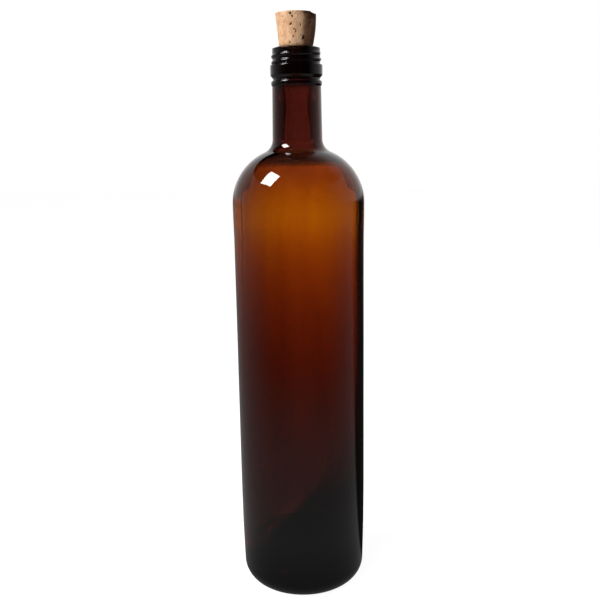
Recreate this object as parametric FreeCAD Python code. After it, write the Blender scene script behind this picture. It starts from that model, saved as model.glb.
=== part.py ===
import FreeCAD, Part
import math
import os

# A one litre glass bottle with a tapered cork pushed into its mouth.
# Millimetres, +Z up. The origin is the middle of the ring that the bottle stands on.

# --- Bottle, outside -----------------------------------------------------------------
body_radius = 38.2          # straight side, where a label would go
mouth_height = 323.0        # floor to the inner edge of the lip, before it is rounded

panel_relief = 0.22         # the shoulder stands this far proud of the straight side
panel_drop = 25.9           # the side begins to swell out this far under the shoulder curve
panel_step = 12.0           # height of one half of that swelling

heel_rounding = 11.8        # curve between the side and the base
heel_draft = 1.26           # how much narrower the side would be at the floor
draft_height = 37.0         # height at which that draft ends
draft_reach = 25.0          # length of the curve each side of that height

upper_length = 88.1         # from mouth_height down to where the shoulder curve begins
shoulder_radius = 32.0      # round of the shoulder
neck_foot_rounding = 8.0    # hollow curve from the shoulder into the neck

neck_foot_radius = 14.46    # neck just above the shoulder
neck_top_radius = 13.96     # neck just under the bead

# --- Finish: heights are measured down from mouth_height -------------------------------
bead_drop = 20.2            # middle of the small bead that closes the neck
bead_width = 1.7
bead_radius = 14.5
bead_rounding = 0.6

undercut_drop = 18.4        # middle of the groove between bead and band
undercut_width = 1.2
undercut_radius = 13.45
undercut_rounding = 0.4

band_bottom_drop = 16.1     # the plain band that a cap's skirt would grip under
band_top_drop = 10.6
band_radius = 14.85
band_rounding = 0.7

root_radius = 13.55         # plain wall between the turns of the thread
root_rise = 0.7             # the band's upper face slopes by this much to the wall
root_rounding = 0.5

lip_radius_drop = 1.4       # the lip's outer edge lies this far under its inner edge
lip_rounding = 1.5
mouth_rounding = 1.0

# --- Thread -----------------------------------------------------------------------------
thread_pitch = 3.4
thread_depth = 0.65         # crest above the plain wall
thread_root_width = 2.7
thread_crest_width = 0.9
thread_sink = 0.8           # the ridge is rooted this deep in the wall
thread_end_sink = 0.2       # depth of the crest under the wall's surface at each end
thread_bottom_drop = 10.0   # middle of the ridge where it begins
thread_start_angle = 100.0  # degrees, seen from above, from +X towards +Y
thread_turn_angle = 640.0   # degrees from the first end of the ridge to the other
thread_fade_angle = 60.0    # degrees over which each end sinks into the wall
thread_step_angle = 20.0    # degrees between two sections of the ridge

# --- Bottle, inside -----------------------------------------------------------------------
side_wall = 2.7
bore_radius = 9.25          # inside of the mouth and of the upper neck
bore_length = 34.0          # straight bore, down from mouth_height
bore_easing_length = 14.0   # the bore widens over this length below
neck_foot_wall = 4.0
bore_easing_radius = 40.0
shoulder_wall = 3.2         # measured at the top of the shoulder
inner_foot_rounding = 10.0   # curve from the inside of the shoulder into the bore
inner_heel_rounding = 10.5

# --- Base -----------------------------------------------------------------------------------
base_thickness = 5.2
push_up = 3.0               # rise of the middle of the base above the floor
push_up_radius = 11.0       # flat middle of that rise
push_up_rounding = 14.0
seat_inner_radius = 21.0    # inside edge of the ring that the bottle stands on
seat_rounding = 4.0

# --- Cork -------------------------------------------------------------------------------------
cork_clearance = 0.05       # between the cork and the bore
cork_depth = 20.0           # length inside the neck, from mouth_height down
cork_stand = 18.0           # length outside, from mouth_height up
cork_waist_swell = 0.47     # the cork just above the lip is wider than the bore by this, all round
cork_waist_stand = 0.5      # height of that place above mouth_height
cork_flare = 1.78           # and the top is wider than that waist by this, all round
cork_rim_rounding = 0.5
cork_foot_rounding = 1.0
cork_neck_rounding = 3.0

chip_radius = 3.0           # a round bite out of the rim of the cork
chip_width = 2.1            # how far the bite reaches in from the rim
chip_rise = 1.6             # middle of the bite above the top of the cork
chip_angle = -14.0          # degrees, seen from above, from +X towards +Y

same_place = 1e-4           # two ends closer than this need no straight line between them


def rounded_outline(corners):
    """Edges along (radius, height, rounding) corners in the XZ plane, rounded by tangent arcs."""
    points = [FreeCAD.Vector(radius, 0, height) for radius, height, rounding in corners]
    edges = []
    pen = points[0]
    for index in range(1, len(points) - 1):
        corner = points[index]
        rounding = corners[index][2]
        back = (points[index - 1] - corner).normalize()
        ahead = (points[index + 1] - corner).normalize()
        half_angle = back.getAngle(ahead) / 2
        if rounding == 0:
            edges.append(Part.makeLine(pen, corner))
            pen = corner
            continue
        reach = rounding / math.tan(half_angle)
        start = corner + back * reach
        end = corner + ahead * reach
        inward = (back + ahead).normalize()
        middle = corner + inward * (rounding / math.sin(half_angle) - rounding)
        if pen.distanceToPoint(start) > same_place:
            edges.append(Part.makeLine(pen, start))
            pen = start
        edges.append(Part.Arc(pen, middle, end).toShape())
        pen = end
    edges.append(Part.makeLine(pen, points[-1]))
    return edges


def shoulder_corners(side_radius, centre_height, rounding, neck_radius, foot_rounding):
    """Two corners whose arcs meet tangent: the shoulder, then the hollow foot of the neck."""
    across = neck_radius + foot_rounding - (side_radius - rounding)
    up = math.sqrt((rounding + foot_rounding) ** 2 - across ** 2)
    turn = math.atan2(up, across)
    shoulder_reach = rounding * math.tan(turn / 2)
    foot_reach = foot_rounding * math.tan(turn / 2)
    lower = (side_radius, centre_height + shoulder_reach, rounding)
    upper = (neck_radius, centre_height + up - foot_reach, foot_rounding)
    return [lower, upper]


def turned(edges):
    """The solid that a closed outline sweeps when it is turned once about the Z axis."""
    face = Part.Face(Part.Wire(edges))
    solid = face.revolve(FreeCAD.Vector(0, 0, 0), FreeCAD.Vector(0, 0, 1), 360)
    if solid.Volume < 0:
        solid.reverse()
    return Part.Solid(solid.Shells[0])


def outside_corners():
    """Corners of the outside, from the middle of the base up to the inner edge of the lip."""
    shoulder_side = body_radius + panel_relief
    shoulder_height = mouth_height - upper_length
    panel_top = shoulder_height - panel_drop
    draft_rounding = 2 * draft_reach * draft_height / heel_draft
    relief_rounding = panel_step ** 2 / panel_relief
    bead_height = mouth_height - bead_drop
    undercut_height = mouth_height - undercut_drop
    band_top = mouth_height - band_top_drop
    corners = [
        (0, push_up, 0),
        (push_up_radius, push_up, push_up_rounding),
        (seat_inner_radius, 0, seat_rounding),
        (body_radius - heel_draft, 0, heel_rounding),
        (body_radius, draft_height, draft_rounding),
        (body_radius, panel_top + panel_step / 2, relief_rounding),
        (shoulder_side, panel_top + panel_step * 3 / 2, relief_rounding),
    ]
    corners += shoulder_corners(
        shoulder_side, shoulder_height, shoulder_radius, neck_foot_radius, neck_foot_rounding)
    corners += [
        (neck_top_radius, bead_height - bead_width / 2 - bead_rounding, bead_rounding),
        (bead_radius, bead_height - bead_width / 2, bead_rounding),
        (bead_radius, bead_height + bead_width / 2, bead_rounding),
        (undercut_radius, undercut_height - undercut_width / 2, undercut_rounding),
        (undercut_radius, undercut_height + undercut_width / 2, undercut_rounding),
        (band_radius, mouth_height - band_bottom_drop, band_rounding),
        (band_radius, band_top, band_rounding),
        (root_radius, band_top + root_rise, root_rounding),
        (root_radius, mouth_height - lip_radius_drop, lip_rounding),
        (bore_radius, mouth_height, mouth_rounding),
    ]
    return corners


def inside_corners():
    """Corners of the inside, from the bore down to the middle of the bottle's floor."""
    side_radius = body_radius - side_wall
    foot_radius = neck_foot_radius - neck_foot_wall
    bore_end = mouth_height - bore_length
    rounding = shoulder_radius - side_wall
    centre_height = mouth_height - upper_length + side_wall - shoulder_wall
    shoulder = shoulder_corners(side_radius, centre_height, rounding, foot_radius, inner_foot_rounding)
    corners = [
        (bore_radius, bore_end, bore_easing_radius),
        (foot_radius, bore_end - bore_easing_length, bore_easing_radius),
    ]
    corners += reversed(shoulder)
    corners += [
        (side_radius, base_thickness, inner_heel_rounding),
        (seat_inner_radius, base_thickness, 0),
        (push_up_radius, push_up + base_thickness, push_up_rounding),
        (0, push_up + base_thickness, 0),
    ]
    return corners


def thread_section(turned_angle):
    """Outline of the ridge where it has turned by this many degrees from its first end."""
    to_end = min(turned_angle, thread_turn_angle - turned_angle)
    share = min(1.0, to_end / thread_fade_angle)
    crest = root_radius - thread_end_sink + (thread_depth + thread_end_sink) * share
    root = root_radius - thread_sink
    middle = mouth_height - thread_bottom_drop + thread_pitch * turned_angle / 360
    outline = [
        (root, middle - thread_root_width / 2),
        (crest, middle - thread_crest_width / 2),
        (crest, middle + thread_crest_width / 2),
        (root, middle + thread_root_width / 2),
    ]
    angle = math.radians(thread_start_angle + turned_angle)
    points = [
        FreeCAD.Vector(radius * math.cos(angle), radius * math.sin(angle), height)
        for radius, height in outline
    ]
    return Part.makePolygon(points + points[:1])


def thread_ridge():
    """The raised screw thread, which rises from the wall and sinks back into it."""
    steps = round(thread_turn_angle / thread_step_angle)
    sections = [thread_section(thread_turn_angle * step / steps) for step in range(steps + 1)]
    return Part.makeLoft(sections, True, True)


def glass_bottle():
    """The bottle: one thick walled glass solid with its thread."""
    outline = outside_corners() + inside_corners()
    edges = rounded_outline(outline)
    floor_middle = FreeCAD.Vector(0, 0, push_up + base_thickness)
    edges.append(Part.makeLine(floor_middle, FreeCAD.Vector(0, 0, push_up)))
    return turned(edges).fuse(thread_ridge())


def cork_stopper():
    """The tapered cork, with a bite broken out of its upper rim."""
    top = mouth_height + cork_stand
    bottom = mouth_height - cork_depth
    plug_radius = bore_radius - cork_clearance
    waist_radius = bore_radius + cork_waist_swell
    top_radius = waist_radius + cork_flare
    edges = rounded_outline([
        (0, bottom, 0),
        (plug_radius, bottom, cork_foot_rounding),
        (plug_radius, mouth_height - mouth_rounding, cork_neck_rounding),
        (waist_radius, mouth_height + cork_waist_stand, cork_neck_rounding),
        (top_radius, top, cork_rim_rounding),
        (0, top, 0),
    ])
    edges.append(Part.makeLine(FreeCAD.Vector(0, 0, top), FreeCAD.Vector(0, 0, bottom)))
    cork = turned(edges)
    chip_length = 4 * top_radius  # reaches well past the cork on both sides
    chip_offset = top_radius - chip_width + chip_radius
    chip_middle = FreeCAD.Vector(chip_offset, -chip_length / 2, top + chip_rise)
    chip = Part.makeCylinder(chip_radius, chip_length, chip_middle, FreeCAD.Vector(0, 1, 0))
    chip.rotate(FreeCAD.Vector(0, 0, 0), FreeCAD.Vector(0, 0, 1), chip_angle)
    return cork.cut(chip)


def export(shape, name):
    """Write one piece as its own STEP file, after a look at what was made."""
    solids = shape.Solids
    print(name, "solids", len(solids), "valid", shape.isValid(), "cm3", round(shape.Volume / 1000, 2))
    solids[0].exportStep("parts/" + name + ".step")


os.makedirs("parts", exist_ok=True)
export(glass_bottle(), "glass_bottle")
export(cork_stopper(), "cork_stopper")
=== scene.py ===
import logging
import math
import random
from dataclasses import dataclass, field
from enum import Enum
from itertools import pairwise

import bpy
from mathutils import Matrix, Vector, noise


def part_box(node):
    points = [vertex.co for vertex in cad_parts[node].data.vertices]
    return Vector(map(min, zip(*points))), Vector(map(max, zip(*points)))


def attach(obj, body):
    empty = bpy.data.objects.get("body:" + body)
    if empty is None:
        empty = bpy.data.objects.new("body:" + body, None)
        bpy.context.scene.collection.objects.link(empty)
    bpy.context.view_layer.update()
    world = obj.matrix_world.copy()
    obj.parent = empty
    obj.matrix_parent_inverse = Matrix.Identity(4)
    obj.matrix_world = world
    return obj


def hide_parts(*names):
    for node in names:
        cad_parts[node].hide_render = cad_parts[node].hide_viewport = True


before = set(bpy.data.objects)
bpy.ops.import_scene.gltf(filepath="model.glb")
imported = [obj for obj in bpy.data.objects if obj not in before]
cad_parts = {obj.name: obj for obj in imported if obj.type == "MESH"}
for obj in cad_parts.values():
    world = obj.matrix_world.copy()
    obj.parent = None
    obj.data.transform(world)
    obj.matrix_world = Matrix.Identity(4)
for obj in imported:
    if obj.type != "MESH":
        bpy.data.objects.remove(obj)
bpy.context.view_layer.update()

MM = 0.001
FULL_TURN = 2 * math.pi
WELD = 0.005 * MM

logging.basicConfig(level=logging.INFO, format="%(name)s: %(message)s")
log = logging.getLogger("bottle")

Socket = bpy.types.NodeSocket
Piece = bpy.types.Object
Material = bpy.types.Material
Colour = tuple[float, float, float, float]
Tint = tuple[float, float, float]
Span = tuple[float, float]

WHITE: Colour = (1.0, 1.0, 1.0, 1.0)
BLACK: Colour = (0.0, 0.0, 0.0, 1.0)


# ---- Bench tools: the few hand moves that every piece is made with ----


class Mark(Enum):
    """What a mesh notes at each vertex, from 0 to 1, for its material."""

    OUTER = "outer"
    # PORE_AND_SHADE marks the dark pores, and painted shade on the broken rim and the torn patch.
    PORE_AND_SHADE = "pore"
    # PAINTED_SHADE marks painted shade on the cork's right front side.
    PAINTED_SHADE = "painted_shade"


def put_down() -> None:
    """Leave edit mode and deselect everything."""
    if bpy.context.mode != "OBJECT":
        bpy.ops.object.mode_set(mode="OBJECT")
    bpy.ops.object.select_all(action="DESELECT")


def settle(piece: Piece) -> None:
    """Bring a piece's object to the origin, with its place in its mesh."""
    put_down()
    piece.select_set(True)
    bpy.context.view_layer.objects.active = piece
    bpy.ops.object.transform_apply(location=True, rotation=True, scale=True)


def note(piece: Piece, mark: Mark, values: list[float]) -> None:
    """Note one number at each vertex of a piece."""
    store = piece.data.attributes.new(mark.value, "FLOAT", "POINT")
    store.data.foreach_set("value", values)


@dataclass(frozen=True)
class Corner:
    """A corner of a turned outline.

    Args:
        radius: Distance from the axis.
        height: Height above the floor.
        rounding: Radius of the arc that rounds the corner.
        step: Longest straight edge on the run that leads to this corner.
    """

    radius: float
    height: float
    rounding: float = 0.0
    step: float = 3 * MM


def outline_points(corners: list[Corner], arc_step: float) -> list[Vector]:
    """Points along an outline whose corners are rounded by tangent arcs.

    Args:
        corners: The corners, from one end of the outline to the other.
        arc_step: Largest turn between two points of an arc, in radians.

    Returns:
        Points in the XZ plane, evenly spaced along each run and each arc.
    """
    places = [Vector((corner.radius, 0, corner.height)) for corner in corners]
    points = [places[0]]

    def run_to(place: Vector, step: float) -> None:
        """Add a straight run to a place, in equal steps no longer than the one given."""
        start = points[-1]
        count = max(1, math.ceil((place - start).length / step))
        points.extend(start.lerp(place, index / count) for index in range(1, count + 1))

    for index in range(1, len(corners) - 1):
        corner, place = corners[index], places[index]
        back = (places[index - 1] - place).normalized()
        ahead = (places[index + 1] - place).normalized()
        half_angle = back.angle(ahead) / 2
        reach = corner.rounding / math.tan(half_angle)
        run_to(place + back * reach, corner.step)
        if not corner.rounding:
            continue
        middle = place + (back + ahead).normalized() * corner.rounding / math.sin(half_angle)
        start_arm = points[-1] - middle
        turn = math.pi - 2 * half_angle
        side = 1 if start_arm.cross(ahead).y > 0 else -1
        count = max(2, math.ceil(turn / arc_step))
        for step in range(1, count + 1):
            arm = start_arm.copy()
            arm.rotate(Matrix.Rotation(side * turn * step / count, 3, "Y"))
            points.append(middle + arm)
    run_to(places[-1], corners[-1].step)
    return points


def spun_outline(name: str, points: list[Vector], steps: int, angle: float) -> Piece:
    """Draw an outline by extruding one vertex along it, and spin it about the vertical axis.

    Args:
        name: Name of the new piece.
        points: The outline.
        steps: Number of steps of the spin.
        angle: How far it is spun, in radians.

    Returns:
        The surface that the outline sweeps.
    """
    put_down()
    bpy.ops.mesh.primitive_plane_add(size=MM, location=points[0])
    piece = bpy.context.active_object
    piece.name = piece.data.name = name
    bpy.ops.object.transform_apply(location=True)
    bpy.ops.object.mode_set(mode="EDIT")
    bpy.ops.mesh.select_mode(type="VERT")
    bpy.ops.mesh.select_all(action="SELECT")
    bpy.ops.mesh.merge(type="CENTER")
    for start, end in pairwise(points):
        bpy.ops.mesh.extrude_region_move(TRANSFORM_OT_translate={"value": end - start})
    bpy.ops.mesh.select_all(action="SELECT")
    bpy.ops.mesh.spin(steps=steps, angle=angle, center=(0, 0, 0), axis=(0, 0, 1))
    bpy.ops.object.mode_set(mode="OBJECT")
    return piece


def turned_piece(name: str, points: list[Vector], segments: int) -> Piece:
    """Spin an outline through a full turn into a closed shell.

    Args:
        name: Name of the new piece.
        points: The outline, in the XZ plane, from the axis round and back to the axis.
        segments: Number of steps in the full turn.

    Returns:
        The turned piece, with its poles closed and its faces pointing outwards.
    """
    piece = spun_outline(name, points, segments, FULL_TURN)
    bpy.ops.object.mode_set(mode="EDIT")
    bpy.ops.mesh.select_all(action="SELECT")
    bpy.ops.mesh.remove_doubles(threshold=WELD)
    bpy.ops.mesh.normals_make_consistent(inside=False)
    bpy.ops.object.mode_set(mode="OBJECT")
    bpy.ops.object.shade_smooth()
    return piece


def smooth_step(low: float, high: float, value: float) -> float:
    """Ease from 0 at low to 1 at high."""
    share = min(1.0, max(0.0, (value - low) / (high - low)))
    return share * share * (3 - 2 * share)


# ---- Finishes ----


class NodeBench:
    """Adds nodes to one tree, wires them and lays them out from left to right."""

    column_width = 220.0

    def __init__(self, tree: bpy.types.NodeTree) -> None:
        """Clear a tree and start at its left."""
        tree.nodes.clear()
        self.tree = tree
        self.column = 0.0

    def add(self, kind: str, **settings: object) -> bpy.types.Node:
        """Add a node.

        Args:
            kind: Blender's name of the node type.
            settings: Properties to set. Those named in_NAME set the input socket called
                NAME, with underscores for spaces: a link from a socket, or a plain value.

        Returns:
            The new node.
        """
        node = self.tree.nodes.new(kind)
        node.location = (self.column, 0)
        self.column += self.column_width
        for key, value in settings.items():
            if not key.startswith("in_"):
                setattr(node, key, value)
        for key, value in settings.items():
            if key.startswith("in_"):
                name = key[3:].replace("_", " ")
                socket = node.inputs[int(name)] if name.isdigit() else node.inputs[name]
                self.feed(socket, value)
        return node

    def feed(self, socket: Socket, value: object) -> None:
        """Link a socket to an output, or give it a plain value."""
        if isinstance(value, Socket):
            self.tree.links.new(value, socket)
        else:
            socket.default_value = value

    def math(self, operation: str, first: object, second: object = 0.0) -> Socket:
        """Combine two numbers and return the result's socket."""
        return self.add("ShaderNodeMath", operation=operation, in_0=first, in_1=second).outputs[0]

    def times(self, first: object, second: object) -> Socket:
        """The product of two numbers."""
        return self.math("MULTIPLY", first, second)

    def fade(self, value: object, low: object, high: object, start: float = 0.0,
             end: float = 1.0) -> Socket:
        """A number that eases from start to end while value goes from low to high."""
        return self.add(
            "ShaderNodeMapRange", interpolation_type="SMOOTHSTEP", in_Value=value, in_From_Min=low,
            in_From_Max=high, in_To_Min=start, in_To_Max=end).outputs[0]

    def climb(self, value: object, low: float, high: float, power: float) -> Socket:
        """A number that climbs from 0 to 1 while value goes from low to high, on a power curve."""
        share = self.add("ShaderNodeMapRange", in_Value=value, in_From_Min=low, in_From_Max=high)
        return self.math("POWER", share.outputs[0], power)

    def blend(self, factor: object, low: object, high: object) -> Socket:
        """The number between low and high at a factor."""
        return self.math("ADD", low, self.times(factor, self.math("SUBTRACT", high, low)))

    def mix(self, blend: str, amount: object, first: object, second: object) -> Socket:
        """Blend two colours and return the result's socket."""
        node = self.add("ShaderNodeMix", data_type="RGBA", blend_type=blend)
        for name, value in (("Factor_Float", amount), ("A_Color", first), ("B_Color", second)):
            socket = next(item for item in node.inputs if item.identifier == name)
            self.feed(socket, value)
        return next(item for item in node.outputs if item.identifier == "Result_Color")

    def mark(self, mark: Mark) -> Socket:
        """What the mesh notes at each place."""
        return self.add("ShaderNodeAttribute", attribute_name=mark.value).outputs["Fac"]

    def shine(self, strength: object) -> Socket:
        """A surface that gives off white light."""
        return self.add("ShaderNodeEmission", in_Color=WHITE, in_Strength=strength).outputs[0]

    def cover(self, surface: Socket) -> None:
        """End the material with its surface."""
        self.add("ShaderNodeOutputMaterial", in_Surface=surface)


def patchiness_group() -> bpy.types.NodeTree:
    """The uneven patches that both the glass and the cork show, as one shared node group.

    Returns:
        A group with a position and the sizes of Patches going in, and a mask coming out.
    """
    name = "patchiness"
    if name in bpy.data.node_groups:
        return bpy.data.node_groups[name]
    tree = bpy.data.node_groups.new(name, "ShaderNodeTree")
    tree.interface.new_socket(name="Position", in_out="INPUT", socket_type="NodeSocketVector")
    for label in ("Patches per metre", "Height squeeze", "Roughness", "Low", "High"):
        tree.interface.new_socket(name=label, in_out="INPUT", socket_type="NodeSocketFloat")
    tree.interface.new_socket(name="Mask", in_out="OUTPUT", socket_type="NodeSocketFloat")
    bench = NodeBench(tree)
    ways_in = bench.add("NodeGroupInput").outputs
    squeeze = bench.add("ShaderNodeCombineXYZ", in_X=1.0, in_Y=1.0, in_Z=ways_in["Height squeeze"])
    place = bench.add(
        "ShaderNodeVectorMath", operation="MULTIPLY", in_0=ways_in["Position"], in_1=squeeze.outputs[0])
    patches = bench.add(
        "ShaderNodeTexNoise", in_Vector=place.outputs[0], in_Scale=ways_in["Patches per metre"],
        in_Detail=3.0, in_Roughness=ways_in["Roughness"])
    mask = bench.fade(patches.outputs[0], ways_in["Low"], ways_in["High"])
    bench.add("NodeGroupOutput", in_Mask=mask)
    return tree


@dataclass(frozen=True)
class Patches:
    """Uneven patches of a finish.

    Args:
        per_metre: Patches per metre.
        squeeze: Stretch along Z: under 1 draws the patches out, over 1 flattens them.
        low: Where the mask starts.
        high: Where the mask is full.
        roughness: Share of the finer detail.
    """

    per_metre: float
    squeeze: float
    low: float
    high: float
    roughness: float = 0.5

    def mask(self, bench: NodeBench, position: Socket) -> Socket:
        """The patches in a material, from 0 to 1."""
        node = bench.add(
            "ShaderNodeGroup", node_tree=patchiness_group(), in_Position=position,
            in_Patches_per_metre=self.per_metre, in_Height_squeeze=self.squeeze,
            in_Roughness=self.roughness, in_Low=self.low, in_High=self.high)
        return node.outputs["Mask"]


def new_material(name: str) -> tuple[Material, NodeBench]:
    """A new material with an empty node tree, and the bench that fills it."""
    material = bpy.data.materials.new(name)
    material.use_nodes = True
    return material, NodeBench(material.node_tree)


@dataclass(frozen=True)
class AmberGlass:
    """Dark amber glass with painted light and shade in its tint: painted light makes it orange under
    the shoulder, painted shade deepens it to almost black at the foot.

    Args:
        shoulder: Height where the straight side ends.
        neck_foot: Height of the middle of the ring of painted shade at the neck's foot.
        bead: Height of the bead under the finish.
        low_tint_and_shade: Red, green and blue of the lowest part of the side, darkened by painted
            shade.
        bright_tint_and_light: Those of its brightest part, lightened by painted light.
        climbs: How late each of them climbs from the one to the other: 1 is steadily.
        shoulder_tint_and_light: Tint of the top of the shoulder, with painted light.
        ring_tint_and_shade: Tint of the ring, darkened by painted shade.
        neck_tint_and_shade: Tint of the neck, darkened by painted shade.
        finish_tint_and_shade: Tint of the screw finish, darkened to almost black by painted shade.
        foot_dark: Height under which painted shade makes the foot black.
        foot_clear: Height where that has faded out.
        brightest_drop: How far the brightest painted light lies under the shoulder.
        ring_half: Half the width of the ring.
        index: Refractive index.
        finish_roughness: Roughness of the worn screw finish.
        finish_height: Where the worn finish starts.
        finish_fade: Height over which it sets in.
        smudge_roughness: Roughness of the faint smudges on the fire polished glass.
        absorption: Colour that is left after light has gone far through the glass.
        density: How fast that happens, per metre.
        streaks: The tall narrow patches of the mottling.
        streak_tint: What the glass is darkened by in them.
        clouds: The broad patches of the mottling.
        cloud_tint: What the glass is darkened by in them.
        mottling: How much both of them show.
        brightness: Makes up for what the mottling takes away.
        ripple: The unevenness of the glass.
        ripple_strength: Strength of that bump.
        ripple_depth: Its depth.
        smudges: Where the faint smudges are.
        painted_light_offset: How far right of the axis the painted light on the glass is brightest.
        side_reach: How far from there the painted shade is darkest.
        side_shade: What the painted shade darkens it by there.
        shade_slope: Rise of the edge of the painted shade low on the right, per metre across.
        shade_height: Height of that edge at the axis.
        shade_soft: Width of that edge.
        shade_ragged: How far it wanders.
        shade_tint: What the painted shade darkens the glass by there.
        shade_top: The painted shade has faded out at this height.
        shade_full: Share of that height up to which it is full.
        glow: Tint of the reddish painted light above that edge, on the left.
        glow_width: How far that painted light reaches.
    """

    shoulder: float
    neck_foot: float
    bead: float
    # These tints hold painted light under the shoulder and painted shade at the foot, neck and finish.
    low_tint_and_shade: Tint = (0.015, 0.0022, 0.0015)
    bright_tint_and_light: Tint = (0.41, 0.105, 0.0006)
    climbs: Tint = (1.6, 2.6, 1.0)
    shoulder_tint_and_light: Colour = (0.26, 0.045, 0.006, 1.0)
    ring_tint_and_shade: Colour = (0.024, 0.008, 0.006, 1.0)
    neck_tint_and_shade: Colour = (0.075, 0.013, 0.010, 1.0)
    finish_tint_and_shade: Colour = (0.006, 0.002, 0.004, 1.0)
    foot_dark: float = 12.0 * MM
    foot_clear: float = 30.0 * MM
    brightest_drop: float = 10.0 * MM
    ring_half: float = 2.2 * MM
    index: float = 1.5
    finish_roughness: float = 0.14
    finish_height: float = 303.5 * MM
    finish_fade: float = 4.0 * MM
    smudge_roughness: float = 0.05
    absorption: Colour = (0.80, 0.45, 0.15, 1.0)
    density: float = 60.0
    streaks: Patches = Patches(70.0, 0.10, 0.35, 0.65)
    streak_tint: Colour = (0.70, 0.58, 0.55, 1.0)
    clouds: Patches = Patches(22.0, 0.55, 0.30, 0.70)
    cloud_tint: Colour = (0.68, 0.58, 0.56, 1.0)
    mottling: float = 0.60
    brightness: Colour = (1.13, 1.17, 1.10, 1.0)
    ripple: Patches = Patches(60.0, 0.30, 0.0, 1.0)
    ripple_strength: float = 0.05
    ripple_depth: float = 0.4 * MM
    smudges: Patches = Patches(45.0, 0.60, 0.52, 0.80)
    painted_light_offset: float = 5.0 * MM
    side_reach: float = 44.0 * MM
    side_shade: Colour = (0.62, 0.60, 0.90, 1.0)
    shade_slope: float = 1.25
    shade_height: float = 65.0 * MM
    shade_soft: float = 8.0 * MM
    shade_ragged: float = 6.0 * MM
    shade_tint: Colour = (0.012, 0.012, 0.012, 1.0)
    shade_top: float = 110.0 * MM
    shade_full: float = 0.6
    glow: Colour = (0.085, 0.010, 0.004, 1.0)
    glow_width: float = 14.0 * MM

    def side_tint_light_and_shade(self, bench: NodeBench, height: Socket) -> Socket:
        """Tint of the straight side, with painted shade low and painted light high: each channel grows
        by a ratio up to the brightest height.
        """
        brightest = self.shoulder - self.brightest_drop
        channels = []
        for low, high, power in zip(self.low_tint_and_shade, self.bright_tint_and_light, self.climbs):
            share = bench.climb(height, self.foot_clear, brightest, power)
            channels.append(bench.times(low, bench.math("POWER", high / low, share)))
        red, green, blue = channels
        return bench.add(
            "ShaderNodeCombineColor", in_Red=red, in_Green=green, in_Blue=blue).outputs[0]

    def height_tint_light_and_shade(self, bench: NodeBench, height: Socket) -> Socket:
        """Tint from the foot up, with painted light and shade: the side, then the shoulder, a ring of
        painted shade, the neck and the finish, and a foot blackened by painted shade.
        """
        tint = self.side_tint_light_and_shade(bench, height)
        ring, width = self.neck_foot, 2 * self.ring_half
        off_ring = bench.math("ABSOLUTE", bench.math("SUBTRACT", height, ring))
        layers = (
            (self.shoulder_tint_and_light, height, self.shoulder - self.brightest_drop, ring - width),
            (self.neck_tint_and_shade, height, ring, ring + width),
            (self.ring_tint_and_shade, off_ring, width, self.ring_half),
            (self.finish_tint_and_shade, height, self.bead - width, self.bead),
            (BLACK, height, self.foot_clear, self.foot_dark),
        )
        for colour, value, start, end in layers:
            tint = bench.mix("MIX", bench.fade(value, start, end), tint, colour)
        return tint

    def front_shade_and_light(self, bench: NodeBench, places: bpy.types.NodeOutputs, clouds: Socket,
                   tint: Socket) -> Socket:
        """Paint shade on the glass low on the right of the front, and paint reddish light above the
        edge of that.

        Args:
            bench: The material's bench.
            places: Sockets of X, Y and Z.
            clouds: Mask of the broad patches, which make the edge wander.
            tint: The tint so far.

        Returns:
            The tint with both.
        """
        over = bench.math("SUBTRACT", places["Z"], bench.times(places["X"], self.shade_slope))
        over = bench.math("ADD", over, bench.times(clouds, self.shade_ragged))
        front = bench.fade(places["Y"], self.shade_soft, -self.shade_soft)
        glow = bench.fade(over, self.shade_height + self.glow_width, self.shade_height)
        glow = bench.times(glow, bench.fade(places["X"], 0.0, -self.glow_width))
        tint = bench.mix("MIX", bench.times(glow, front), tint, self.glow)
        shade = bench.fade(over, self.shade_height + self.shade_soft, self.shade_height)
        low = bench.fade(places["Z"], self.shade_top, self.shade_top * self.shade_full)
        shade = bench.times(bench.times(shade, low), front)
        return bench.mix("MULTIPLY", shade, tint, self.shade_tint)

    def build(self) -> Material:
        """Make the material."""
        material, bench = new_material("amber_glass")
        position = bench.add("ShaderNodeTexCoord").outputs["Object"]
        places = bench.add("ShaderNodeSeparateXYZ", in_0=position).outputs
        # The tint by height paints light under the shoulder and shade at the foot, ring, neck and
        # finish.
        tint = self.height_tint_light_and_shade(bench, places["Z"])
        streaks = self.streaks.mask(bench, position)
        clouds = self.clouds.mask(bench, position)
        tint = bench.mix("MULTIPLY", bench.times(streaks, self.mottling), tint, self.streak_tint)
        tint = bench.mix("MULTIPLY", bench.times(clouds, self.mottling), tint, self.cloud_tint)
        tint = bench.mix("MULTIPLY", 1.0, tint, self.brightness)
        # Painted shade: the glass is darker towards both sides and lightest just right of the axis.
        across = bench.math("ABSOLUTE", bench.math("SUBTRACT", places["X"], self.painted_light_offset))
        tint = bench.mix("MULTIPLY", bench.fade(across, 0.0, self.side_reach), tint, self.side_shade)
        # Painted shade low on the right of the front, with painted reddish light above its edge.
        tint = self.front_shade_and_light(bench, places, clouds, tint)
        tint = bench.mix("MIX", bench.mark(Mark.OUTER), WHITE, tint)
        bump = bench.add(
            "ShaderNodeBump", in_Strength=self.ripple_strength, in_Distance=self.ripple_depth,
            in_Height=self.ripple.mask(bench, position))
        smudged = bench.times(self.smudges.mask(bench, position), self.smudge_roughness)
        finish = bench.fade(places["Z"], self.finish_height - self.finish_fade, self.finish_height)
        rough = bench.math("MAXIMUM", bench.times(finish, self.finish_roughness), smudged)
        shader = bench.add(
            "ShaderNodeBsdfPrincipled", in_Base_Color=tint, in_Roughness=rough,
            in_IOR=self.index, in_Transmission_Weight=1.0, in_Normal=bump.outputs[0])
        volume = bench.add(
            "ShaderNodeVolumeAbsorption", in_Color=self.absorption, in_Density=self.density)
        bench.add(
            "ShaderNodeOutputMaterial", in_Surface=shader.outputs[0], in_Volume=volume.outputs[0])
        return material


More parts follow.
